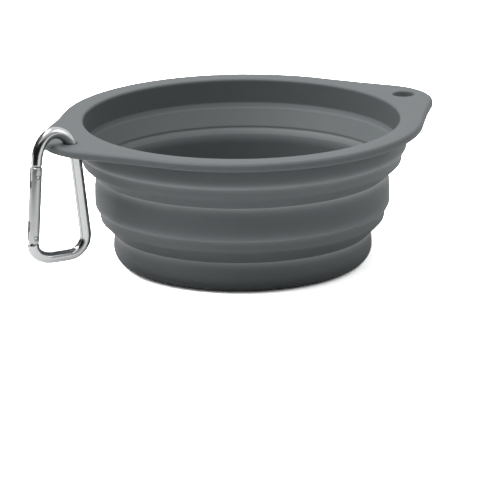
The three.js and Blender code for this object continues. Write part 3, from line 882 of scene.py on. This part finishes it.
# %% Rim with its lugs
wall_outside = stretch(outer_line, rim_foot, plate_foot - UNDER_FILLET)
fillet = np.stack([rim_wall_radius + UNDER_FILLET * arc_rise, plate_foot - UNDER_FILLET * arc_fall], axis=-1)
mouth = np.stack([opening_radius + MOUTH_ROUND * arc_fall, rim_top - MOUTH_ROUND * arc_rise], axis=-1)
wall_inside = stretch(inner_line, rim_foot, rim_top - MOUTH_ROUND)[::-1]
parts = [
    turn_about_axis(np.vstack([wall_outside, fillet[1:]])),
    level_rows(plate, plate_foot),
    inset_rows(EDGE_FOOT_ROUND * arc_fall, plate_foot + EDGE_FOOT_ROUND * arc_rise),
    inset_rows(EDGE_TOP_ROUND * arc_rise, rim_top - EDGE_TOP_ROUND * arc_fall),
    level_rows(plate[::-1], rim_top),
    turn_about_axis(np.vstack([mouth, wall_inside[1:]])),
]
rim_points = np.concatenate(parts)
under_start = len(parts[0])
over_end = sum(len(part) for part in parts[:5]) - 1

rim_faces = grid_faces(len(rim_points), COLUMNS, close_rows=True, close_columns=True)
face_row, face_column = np.divmod(np.arange(len(rim_faces)), COLUMNS)
in_block = np.zeros(len(rim_faces), bool)
lug_column = (face_column + HOLE_HALF_COLUMNS) % (COLUMNS // 2) < 2 * HOLE_HALF_COLUMNS
for first_row in [under_start + HOLE_ROW - HOLE_HALF_ROWS, over_end - HOLE_ROW - HOLE_HALF_ROWS]:
    in_block |= lug_column & (face_row >= first_row) & (face_row < first_row + 2 * HOLE_HALF_ROWS)

hole_points = []
hole_faces = []
loop_row, loop_column = hole_loop()
hole_in = HOLE_EDGE * np.concatenate([arc_fall, arc_rise])
hole_height = np.concatenate([plate_foot + HOLE_EDGE * arc_rise, rim_top - HOLE_EDGE * arc_fall])
first_point = rim_points.shape[0] * COLUMNS
for side, radius, inset in [(1, FREE_HOLE, FREE_HOLE_INSET), (-1, CLIP_HOLE, CLIP_HOLE_INSET)]:
    edge = plate[loop_row, (loop_column + (side < 0) * COLUMNS // 2) % COLUMNS]
    centre = np.array([side * (lug_reach - inset), 0])
    reach = (radius + hole_in)[:, None, None]
    hole_points.append(level_rows(centre + unit(edge - centre) * reach, hole_height).reshape(-1, 3))
    hole_faces.append(first_point + grid_faces(len(hole_height), len(edge), close_columns=True))
    first_point += len(hole_points[-1])

rim = new_piece(
    "rim",
    np.vstack([rim_points.reshape(-1, 3), *hole_points]),
    np.vstack([rim_faces[~in_block], *hole_faces]),
    silicone,
)
store_painted_light(rim)
dress(rim, "rim", "rim_ring")

# %% [markdown]
# ## The clip's rod
# The snap clip is one bent rod: up the spine, round the top bend and down to a short nose. Its line is
# straight runs and bends in one plane. A bevelled curve would give the same rod, but an array also gives
# it ends that shrink to a flat face with a rounded edge, and a UV map in metres, along and round, by
# which the polishing lines follow the rod. In the picture the bends at the nose and under the gate are
# longer one way than the other, so each is a quarter ellipse: a sine of one leg and a cosine of the
# other. The foot also lies a little higher there, and the rod looks a film thicker, than in the CAD
# model, which FOOT_LIFT and ROD_FILM allow for.

# %% The clip's rod
NECK_LEAN = math.radians(25)
NECK_LENGTH = 6.2 * MM
NECK_ROUND = 10.0 * MM
SPINE_LEAN = math.radians(6.65)
SPINE_FOOT_ROUND = 6.7 * MM
GATE_FOOT_RISE = 5.8 * MM
GATE_FOOT_RUN = 8.0 * MM
FOOT_LIFT = 0.7 * MM
ROD_FILM = 0.18 * MM
NOSE_LENGTH = 4.8 * MM
NOSE_STRAIGHT = 1.5 * MM
GATE_DIAMETER = 4.4 * MM
GATE_END_GAP = 0.4 * MM
ROD_END_ROUND = 0.35 * MM
ROD_STEP = 0.5 * MM
ROD_SIDES = 48
BEND_POINTS = 40

rod_low, rod_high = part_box("carabiner_frame")
rod_radius = (rod_high.y - rod_low.y) / 2
gate_radius = GATE_DIAMETER / 2
bend_centre = np.array(joints["clip_swing"]["pos_m"])[[0, 2]]
gate_pivot = np.array(joints["gate_hinge"]["pos_m"])[[0, 2]]
bend_radius = rod_high.z - rod_radius - bend_centre[1]
foot_height = rod_low.z + rod_radius + FOOT_LIFT


def leaning(angle):
    """Direction in X and Z that points down and leans towards +X by the angle."""
    return np.array([math.sin(angle), -math.cos(angle)])


def meet_foot(point, direction):
    """Where a straight run from the point reaches the height of the clip's foot."""
    return point + direction * (foot_height - point[1]) / direction[1]


gate_down = leaning(-gate_lean)
gate_tangent = bend_centre + bend_radius * np.array([-math.cos(gate_lean), math.sin(gate_lean)])
neck_tangent = bend_centre + bend_radius * np.array([math.cos(NECK_LEAN), math.sin(NECK_LEAN)])
shoulder = neck_tangent + leaning(NECK_LEAN) * NECK_LENGTH
bend_turn = np.linspace(0, math.pi / 2, BEND_POINTS)[:, None]
foot_bend = (
    meet_foot(gate_tangent, gate_down)
    - gate_down * GATE_FOOT_RISE * (1 - np.sin(bend_turn))
    + GATE_FOOT_RUN * (1 - np.cos(bend_turn)) * [1, 0]
)
nose_drop = NOSE_LENGTH - NOSE_STRAIGHT
gate_inward = (bend_centre - gate_tangent) / bend_radius
top_turn = np.linspace(NECK_LEAN, math.pi / 2 - gate_lean, BEND_POINTS)[:, None]
top_bend = bend_centre + bend_radius * np.hstack([np.cos(top_turn), np.sin(top_turn)])
nose_bend = (
    bend_centre + gate_down * nose_drop
    - gate_inward * bend_radius * np.sin(bend_turn)
    - gate_down * (bend_radius + nose_drop) * np.cos(bend_turn)
)
rod_line = np.vstack([
    [gate_pivot + gate_down * (gate_radius + GATE_END_GAP)],
    foot_bend[:-1],
    rounded_line([
        tuple(foot_bend[-1]),
        (*meet_foot(shoulder, leaning(SPINE_LEAN)), SPINE_FOOT_ROUND),
        (*shoulder, NECK_ROUND),
        tuple(neck_tangent),
    ]),
    top_bend[1:],
    nose_bend[1:],
    [gate_tangent + gate_down * NOSE_LENGTH],
])


def rounded_ends(length, radius, edge, step):
    """Places along a rod and its radius there: full between the ends, and a quarter circle in at each."""
    inset = edge * arc_rise
    shrunk = radius - edge * arc_fall
    middle = np.linspace(edge, length - edge, int(length / step))[1:-1]
    places = np.concatenate([[0], inset, middle, (length - inset)[::-1], [length]])
    return places, np.concatenate([[0], shrunk, 0 * middle + radius, shrunk[::-1], [0]])


def sweep_rod(line, radius, edge, step, sides):
    """Points and UV of a round rod along a line in X and Z: P + r (n cos a - y sin a), where n is the
    line's normal in its plane and y is square to the plane."""
    runs = np.diff(line, axis=0)
    lengths = np.concatenate([[0], np.cumsum(np.linalg.norm(runs, axis=1))])
    places, radii = rounded_ends(lengths[-1], radius, edge, step)
    centre = np.stack([np.interp(places, lengths, line[:, axis]) for axis in (0, 1)], axis=-1)
    heading = np.gradient(line, lengths, axis=0)
    tangent = unit(np.stack([np.interp(places, lengths, heading[:, axis]) for axis in (0, 1)], axis=-1))
    turn = np.linspace(0, 2 * math.pi, sides + 1)
    sideways = radii[:, None] * np.cos(turn)
    x = centre[:, :1] - tangent[:, 1:] * sideways
    z = centre[:, 1:] + tangent[:, :1] * sideways
    y = -radii[:, None] * np.sin(turn)
    uv = np.stack(np.broadcast_arrays(places[:, None], radius * turn[None, :]), axis=-1)
    return np.stack([x, y, z], axis=-1), uv


rod_points, rod_uv = sweep_rod(
    fill_runs(rod_line, ROD_STEP), rod_radius + ROD_FILM, ROD_END_ROUND, ROD_STEP, ROD_SIDES,
)
rod = new_piece("clip_rod", rod_points, grid_faces(*rod_points.shape[:2]), polished, rod_uv)
dress(rod, "clip", "carabiner_frame")

# %% [markdown]
# ## Tongues of the rod
# At both ends of the gate the rod goes on as a flat tongue. The gate's pivot pin goes through the lower
# one, and the upper one is a small hook that catches the latch pin. They are sawn flats, so an outline
# with a thickness and a small bevel suits them better than a swept rod. Each is drawn in the gate's own
# upright frame, and stood along the gate.

# %% Tongues of the rod
SLOT_WIDTH = 1.7 * MM
TONGUE_CLEARANCE = 0.2 * MM
TONGUE_WIDTH = 3.6 * MM
TONGUE_ROUND = 0.3 * MM
TONGUE_ROOT = 1.0 * MM
TANG_TOP = 2.4 * MM
HOOK_CLEARANCE = 0.25 * MM
HOOK_FOOT = 1.0 * MM
HOOK_LIP = 0.5 * MM
LATCH_SET_BACK = 3.4 * MM
PIN_DIAMETER = 1.3 * MM
TONGUE_BEVEL = 0.12 * MM

pin_radius = PIN_DIAMETER / 2
gate_length = np.linalg.norm(gate_pivot - gate_tangent) - NOSE_LENGTH - GATE_END_GAP
latch_height = gate_length - LATCH_SET_BACK
gate_across = np.array([math.cos(gate_lean), 0, -math.sin(gate_lean)])
gate_origin = np.array(joints["gate_hinge"]["pos_m"])


def in_gate_frame(points):
    """Points (across, y, along) of the gate's upright frame, set on its pivot and leaned with it."""
    across, sideways, along = np.moveaxis(points, -1, 0)[..., None]
    return gate_origin + across * gate_across + sideways * np.array([0, 1, 0]) + along * gate_along


def gate_piece(name, points, material):
    """Piece from a grid of points in the gate's frame, closed round its columns."""
    faces = grid_faces(*points.shape[:2], close_columns=True)
    return new_piece(name, in_gate_frame(points), faces, material)


def apply_modifiers(piece):
    """Replaces the piece's mesh by what its modifiers make of it."""
    made = bpy.data.meshes.new_from_object(piece.evaluated_get(bpy.context.evaluated_depsgraph_get()))
    piece.modifiers.clear()
    piece.data = made
    made.shade_smooth()
    made.set_sharp_from_angle(angle=EDGE_ANGLE)


def add_bevel(piece, width):
    """Rounds the sharp edges of a piece by two narrow faces."""
    bevel = piece.modifiers.new("bevel", "BEVEL")
    bevel.width = width
    bevel.segments = 2
    bevel.limit_method = "ANGLE"
    bevel.angle_limit = EDGE_ANGLE
    apply_modifiers(piece)


def tongue(name, corners, thickness):
    """Plate of an outline with rounded corners in the gate's frame, centred across Y."""
    outline = rounded_line(corners)
    count = len(outline)
    sides = [np.insert(outline, 1, side * thickness / 2, axis=1) for side in (-1, 1)]
    mesh = bpy.data.meshes.new(name)
    ring = np.arange(count)
    walls = np.stack([ring, (ring + 1) % count, (ring + 1) % count + count, ring + count], axis=-1)
    faces = [list(ring[::-1]), list(ring + count), *walls.tolist()]
    mesh.from_pydata(in_gate_frame(np.vstack(sides)), [], faces)
    mesh.update()
    piece = finish_mesh(name, mesh, polished)
    add_bevel(piece, TONGUE_BEVEL)
    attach(piece, "clip")


tongue_half = TONGUE_WIDTH / 2
tongue_thickness = SLOT_WIDTH - 2 * TONGUE_CLEARANCE
tang_foot = -gate_radius - GATE_END_GAP - TONGUE_ROOT
tongue("pivot_tang", [
    (-tongue_half, tang_foot),
    (-tongue_half, TANG_TOP, TONGUE_ROUND),
    (tongue_half, TANG_TOP, TONGUE_ROUND),
    (tongue_half, tang_foot),
], tongue_thickness)
hook_reach = pin_radius + HOOK_CLEARANCE
hook_root = gate_length + GATE_END_GAP + TONGUE_ROOT
tongue("nose_hook", [
    (tongue_half, hook_root),
    (tongue_half, latch_height + hook_reach, TONGUE_ROUND),
    (-hook_reach, latch_height + hook_reach, TONGUE_ROUND),
    (-hook_reach, latch_height - hook_reach, TONGUE_ROUND),
    (HOOK_LIP, latch_height - hook_reach, TONGUE_ROUND),
    (HOOK_LIP, latch_height - hook_reach - HOOK_FOOT, TONGUE_ROUND),
    (-tongue_half, latch_height - hook_reach - HOOK_FOOT, TONGUE_ROUND),
    (-tongue_half, hook_root),
], tongue_thickness)

# %% [markdown]
# ## The gate
# The gate is a round bar with a slot sawn into each end, cross holes for its two pins and a bore for the
# spring. The bar is a grid whose foot is rounded about the pivot: the wall ends at height -R |sin a| and
# the foot closes inwards to the middle line. Cutting is what Boolean modifiers are for, so cutters made
# from the same kind of grids take the slots and holes out, and a bevel breaks the edges.

# %% The gate
GATE_TOP_ROUND = 0.8 * MM
LOWER_SLOT_TOP = 5.9 * MM
UPPER_SLOT_DEPTH = 7.6 * MM
PIN_CLEARANCE = 0.15 * MM
BORE_DIAMETER = 2.5 * MM
BORE_DEPTH = 9.6 * MM
CUT_MARGIN = 1.0 * MM
GATE_BEVEL = 0.12 * MM
GATE_SIDES = 64
PIN_SIDES = 32

bore_top = LOWER_SLOT_TOP + BORE_DEPTH


def round_bar(profile, sides, axis):
    """Bar turned about its own axis from a profile of (radius, place), lying along Y or upright."""
    turn = np.linspace(0, 2 * math.pi, sides, endpoint=False)
    radius, place = profile[:, :1], profile[:, 1:]
    one, two, along = radius * np.cos(turn), radius * np.sin(turn), place + 0 * turn
    order = [two, along, one] if axis == "Y" else [one, two, along]
    return np.stack(order, axis=-1)


def gate_bar():
    """Grid of the uncut gate: foot, wall and rounded top, each row at its own share of the way."""
    turn = np.linspace(0, 2 * math.pi, GATE_SIDES, endpoint=False)
    cos, sin = np.cos(turn), np.sin(turn)
    foot = -gate_radius * np.abs(sin)
    shares = np.linspace(0, 1, ROUND_ROWS)[:, None]
    under = [gate_radius * cos + 0 * shares, gate_radius * sin * shares, foot + 0 * shares]
    wall_top = gate_length - GATE_TOP_ROUND
    wall_height = foot + (wall_top - foot) * shares
    wall = [gate_radius * cos + 0 * shares, gate_radius * sin + 0 * shares, wall_height]
    top_radius = np.append(gate_radius - GATE_TOP_ROUND * arc_rise, 0)[:, None]
    top_height = np.append(gate_length - GATE_TOP_ROUND * arc_fall, gate_length)[:, None]
    top = [top_radius * cos, top_radius * sin, top_height + 0 * cos]
    return np.concatenate([np.stack(part, axis=-1) for part in (under, wall, top)])


def cut(piece, name, points):
    """Takes a closed grid of points, given in the gate's frame, out of a piece."""
    cutter = gate_piece(name, points, satin)
    boolean = piece.modifiers.new(name, "BOOLEAN")
    boolean.operation = "DIFFERENCE"
    boolean.solver = "EXACT"
    boolean.object = cutter
    apply_modifiers(piece)
    bpy.data.objects.remove(cutter)


def slot_box(low, high):
    """Closed box across the whole gate as a grid: a rectangle in X and Y at two heights, with caps."""
    x, y = gate_radius + CUT_MARGIN, SLOT_WIDTH / 2
    loop = np.array([(-x, -y), (x, -y), (x, y), (-x, y)])
    rows = np.stack([0 * loop, loop, loop, 0 * loop])
    return level_rows(rows, [low, low, high, high])


def plain_bar(radius, low, high):
    """Profile of a bar with flat ends."""
    return np.array([(0, low), (radius, low), (radius, high), (0, high)])


gate = gate_piece("gate", gate_bar(), satin)
cut(gate, "lower_slot", slot_box(-gate_radius - CUT_MARGIN, LOWER_SLOT_TOP))
cut(gate, "upper_slot", slot_box(gate_length - UPPER_SLOT_DEPTH, gate_length + CUT_MARGIN))
bore = plain_bar(BORE_DIAMETER / 2, LOWER_SLOT_TOP - CUT_MARGIN, bore_top)
cut(gate, "bore", round_bar(bore, PIN_SIDES, "Z"))
for name, height in [("pivot_hole", 0), ("latch_hole", latch_height)]:
    reach = gate_radius + CUT_MARGIN
    hole = round_bar(plain_bar(pin_radius + PIN_CLEARANCE, -reach, reach), PIN_SIDES, "Y")
    cut(gate, name, hole + [0, 0, height])
add_bevel(gate, GATE_BEVEL)
dress(gate, "gate", "carabiner_gate")
print("Gate has", len(gate.data.polygons), "faces")

# %% [markdown]
# ## Pins and plunger
# The pins are short steel rods with softly domed ends, and the plunger is a stepped pin that the spring
# pushes out of the gate's bore against the tang. Plain cylinders would show sharp rims, so all three are
# profiles with rounded edges, turned about an axis.

# %% Pins and plunger
PIN_LENGTH = 4.2 * MM
PIN_DOME = 0.25 * MM
PLUNGER_TIP_DIAMETER = 1.3 * MM
PLUNGER_SEAT_GAP = 0.2 * MM
PLUNGER_BODY = 2.8 * MM
PLUNGER_TIP_ROUND = 0.35 * MM
BORE_CLEARANCE = 0.25 * MM

dome = np.stack([pin_radius * (1 - arc_fall), PIN_DOME * arc_rise - PIN_LENGTH / 2], axis=-1)
pin_profile = np.vstack([dome, (dome * [1, -1])[::-1]])
for name, node, height in [
    ("pivot_pin", "gate_pivot_pin", 0),
    ("latch_pin", "gate_latch_pin", latch_height),
]:
    pin = gate_piece(name, round_bar(pin_profile, PIN_SIDES, "Y") + [0, 0, height], steel)
    dress(pin, "gate", node)

plunger_foot = TANG_TOP + PLUNGER_SEAT_GAP
plunger_shoulder = LOWER_SLOT_TOP + BORE_CLEARANCE
plunger_top = plunger_shoulder + PLUNGER_BODY
plunger_radius = BORE_DIAMETER / 2 - BORE_CLEARANCE
plunger_profile = rounded_line([
    (0, plunger_foot),
    (PLUNGER_TIP_DIAMETER / 2, plunger_foot, PLUNGER_TIP_ROUND),
    (PLUNGER_TIP_DIAMETER / 2, plunger_shoulder, NOTCH_ROUND),
    (plunger_radius, plunger_shoulder, NOTCH_ROUND),
    (plunger_radius, plunger_top, NOTCH_ROUND),
    (0, plunger_top),
])
plunger = gate_piece("plunger", round_bar(plunger_profile, PIN_SIDES, "Z"), steel)
dress(plunger, "plunger", "spring_plunger")

# %% [markdown]
# ## Spring
# A thin coil spring sits in the gate's bore above the plunger. A Screw modifier could coil it, but the
# formula is as short: its wire is a circle carried along a helix, between the helix's own radius and its
# upright normal.

# %% Spring
SPRING_WIRE = 0.3 * MM
SPRING_TURNS = 5.5
SPRING_STEPS = 200
WIRE_SIDES = 10

end_gap = SPRING_WIRE / 2 + BORE_CLEARANCE
coil_radius = BORE_DIAMETER / 2 - BORE_CLEARANCE - SPRING_WIRE / 2
coil_foot = plunger_top + end_gap
coil_top = bore_top - end_gap
coil_height = coil_top - coil_foot
full_turn = 2 * math.pi * SPRING_TURNS
share = np.linspace(0, 1, SPRING_STEPS)
wire = np.where((share > 0) & (share < 1), SPRING_WIRE / 2, 0)[:, None, None]
share[[0, -1]] = share[[1, -2]]
turn = (full_turn * share)[:, None]
radial = np.stack([np.cos(turn), np.sin(turn), 0 * turn], axis=-1)
onward = np.stack([-np.sin(turn), np.cos(turn), 0 * turn], axis=-1)
tangent = unit(coil_radius * onward + [0, 0, coil_height / full_turn])
upright = np.cross(tangent, radial)
axis_points = coil_radius * radial + (coil_foot + coil_height * share)[:, None, None] * [0, 0, 1]
round_wire = np.linspace(0, 2 * math.pi, WIRE_SIDES, endpoint=False)[None, :, None]
coil = axis_points + wire * (radial * np.cos(round_wire) + upright * np.sin(round_wire))
spring = gate_piece("spring", coil, steel)
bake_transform(spring)
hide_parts("gate_spring")
